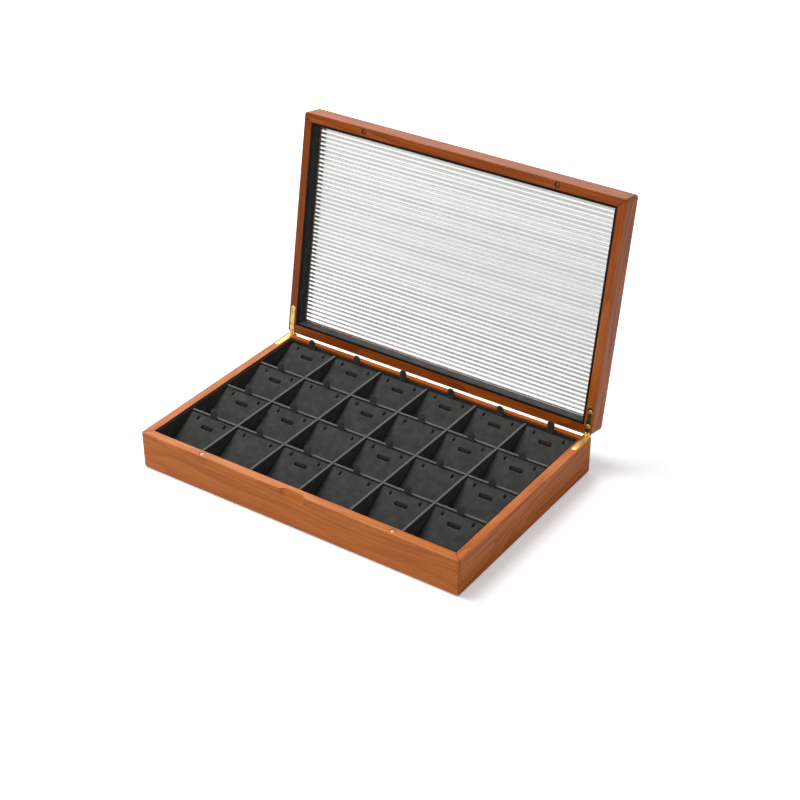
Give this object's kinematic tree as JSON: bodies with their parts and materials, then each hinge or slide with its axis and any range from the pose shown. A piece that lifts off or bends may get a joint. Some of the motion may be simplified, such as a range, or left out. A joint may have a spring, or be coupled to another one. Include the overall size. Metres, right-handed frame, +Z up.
{
  "type": "jewellery case",
  "caption": "Shallow wooden jewellery case with a hinged lid, a ribbed clear window, a partitioned lining and sloped lift-out pads.",
  "frame": {"origin": "on the ground under the middle of the base's outline, not counting the open lid", "axes": "+Z up, +X to the case's right as seen from the front, -Y towards the front with the thumb notch, +Y towards the hinges"},
  "size_m": [0.35, 0.2866, 0.265],
  "materials": {
    "wood": "satin lacquer over straight-grained reddish brown wood",
    "lining": "dark grey microfibre over board",
    "pad": "dark grey microfibre over foam",
    "brass": "polished",
    "magnet": "nickel plate",
    "window": "clear, reeded on the inner side"
  },
  "bodies": {
    "base": {"base_front_rail": "wood", "base_back_rail": "wood", "base_left_rail": "wood", "base_right_rail": "wood", "base_bottom_panel": "wood", "liner_tray": "lining", "partition_long_1": "lining", "partition_long_2": "lining", "partition_long_3": "lining", "partition_cross_1": "lining", "partition_cross_2": "lining", "partition_cross_3": "lining", "partition_cross_4": "lining", "partition_cross_5": "lining", "hinge_left_base_leaf": "brass", "hinge_right_base_leaf": "brass", "hinge_left_pin": "brass", "hinge_right_pin": "brass", "base_magnet_left": "magnet", "base_magnet_right": "magnet"},
    "lid": {"lid_front_rail": "wood", "lid_back_rail": "wood", "lid_left_rail": "wood", "lid_right_rail": "wood", "lid_window": "window", "lid_lining_front": "lining", "lid_lining_back": "lining", "lid_lining_left": "lining", "lid_lining_right": "lining", "hinge_left_lid_leaf": "brass", "hinge_right_lid_leaf": "brass", "lid_magnet_left": "magnet", "lid_magnet_right": "magnet"},
    "pad_r1_c1": {"pad_r1_c1": "pad"},
    "pad_r1_c2": {"pad_r1_c2": "pad"},
    "pad_r1_c3": {"pad_r1_c3": "pad"},
    "pad_r1_c4": {"pad_r1_c4": "pad"},
    "pad_r1_c5": {"pad_r1_c5": "pad"},
    "pad_r1_c6": {"pad_r1_c6": "pad"},
    "pad_r2_c1": {"pad_r2_c1": "pad"},
    "pad_r2_c2": {"pad_r2_c2": "pad"},
    "pad_r2_c3": {"pad_r2_c3": "pad"},
    "pad_r2_c4": {"pad_r2_c4": "pad"},
    "pad_r2_c5": {"pad_r2_c5": "pad"},
    "pad_r2_c6": {"pad_r2_c6": "pad"},
    "pad_r3_c1": {"pad_r3_c1": "pad"},
    "pad_r3_c2": {"pad_r3_c2": "pad"},
    "pad_r3_c3": {"pad_r3_c3": "pad"},
    "pad_r3_c4": {"pad_r3_c4": "pad"},
    "pad_r3_c5": {"pad_r3_c5": "pad"},
    "pad_r3_c6": {"pad_r3_c6": "pad"},
    "pad_r4_c1": {"pad_r4_c1": "pad"},
    "pad_r4_c2": {"pad_r4_c2": "pad"},
    "pad_r4_c3": {"pad_r4_c3": "pad"},
    "pad_r4_c4": {"pad_r4_c4": "pad"},
    "pad_r4_c5": {"pad_r4_c5": "pad"},
    "pad_r4_c6": {"pad_r4_c6": "pad"}
  },
  "joints": [
    {"name": "lid_hinge", "type": "hinge", "parent": "base", "child": "lid", "pos_m": [0, 0.1132, 0.041], "axis": [-1, 0, 0], "range_deg": [-100, 0]},
    {"name": "pad_r1_c1_lift", "type": "slide", "parent": "base", "child": "pad_r1_c1", "axis": [0, 0, 1], "range_m": [0, 0.036]},
    {"name": "pad_r1_c2_lift", "type": "slide", "parent": "base", "child": "pad_r1_c2", "axis": [0, 0, 1], "range_m": [0, 0.036]},
    {"name": "pad_r1_c3_lift", "type": "slide", "parent": "base", "child": "pad_r1_c3", "axis": [0, 0, 1], "range_m": [0, 0.036]},
    {"name": "pad_r1_c4_lift", "type": "slide", "parent": "base", "child": "pad_r1_c4", "axis": [0, 0, 1], "range_m": [0, 0.036]},
    {"name": "pad_r1_c5_lift", "type": "slide", "parent": "base", "child": "pad_r1_c5", "axis": [0, 0, 1], "range_m": [0, 0.036]},
    {"name": "pad_r1_c6_lift", "type": "slide", "parent": "base", "child": "pad_r1_c6", "axis": [0, 0, 1], "range_m": [0, 0.036]},
    {"name": "pad_r2_c1_lift", "type": "slide", "parent": "base", "child": "pad_r2_c1", "axis": [0, 0, 1], "range_m": [0, 0.036]},
    {"name": "pad_r2_c2_lift", "type": "slide", "parent": "base", "child": "pad_r2_c2", "axis": [0, 0, 1], "range_m": [0, 0.036]},
    {"name": "pad_r2_c3_lift", "type": "slide", "parent": "base", "child": "pad_r2_c3", "axis": [0, 0, 1], "range_m": [0, 0.036]},
    {"name": "pad_r2_c4_lift", "type": "slide", "parent": "base", "child": "pad_r2_c4", "axis": [0, 0, 1], "range_m": [0, 0.036]},
    {"name": "pad_r2_c5_lift", "type": "slide", "parent": "base", "child": "pad_r2_c5", "axis": [0, 0, 1], "range_m": [0, 0.036]},
    {"name": "pad_r2_c6_lift", "type": "slide", "parent": "base", "child": "pad_r2_c6", "axis": [0, 0, 1], "range_m": [0, 0.036]},
    {"name": "pad_r3_c1_lift", "type": "slide", "parent": "base", "child": "pad_r3_c1", "axis": [0, 0, 1], "range_m": [0, 0.036]},
    {"name": "pad_r3_c2_lift", "type": "slide", "parent": "base", "child": "pad_r3_c2", "axis": [0, 0, 1], "range_m": [0, 0.036]},
    {"name": "pad_r3_c3_lift", "type": "slide", "parent": "base", "child": "pad_r3_c3", "axis": [0, 0, 1], "range_m": [0, 0.036]},
    {"name": "pad_r3_c4_lift", "type": "slide", "parent": "base", "child": "pad_r3_c4", "axis": [0, 0, 1], "range_m": [0, 0.036]},
    {"name": "pad_r3_c5_lift", "type": "slide", "parent": "base", "child": "pad_r3_c5", "axis": [0, 0, 1], "range_m": [0, 0.036]},
    {"name": "pad_r3_c6_lift", "type": "slide", "parent": "base", "child": "pad_r3_c6", "axis": [0, 0, 1], "range_m": [0, 0.036]},
    {"name": "pad_r4_c1_lift", "type": "slide", "parent": "base", "child": "pad_r4_c1", "axis": [0, 0, 1], "range_m": [0, 0.036]},
    {"name": "pad_r4_c2_lift", "type": "slide", "parent": "base", "child": "pad_r4_c2", "axis": [0, 0, 1], "range_m": [0, 0.036]},
    {"name": "pad_r4_c3_lift", "type": "slide", "parent": "base", "child": "pad_r4_c3", "axis": [0, 0, 1], "range_m": [0, 0.036]},
    {"name": "pad_r4_c4_lift", "type": "slide", "parent": "base", "child": "pad_r4_c4", "axis": [0, 0, 1], "range_m": [0, 0.036]},
    {"name": "pad_r4_c5_lift", "type": "slide", "parent": "base", "child": "pad_r4_c5", "axis": [0, 0, 1], "range_m": [0, 0.036]},
    {"name": "pad_r4_c6_lift", "type": "slide", "parent": "base", "child": "pad_r4_c6", "axis": [0, 0, 1], "range_m": [0, 0.036]}
  ]
}
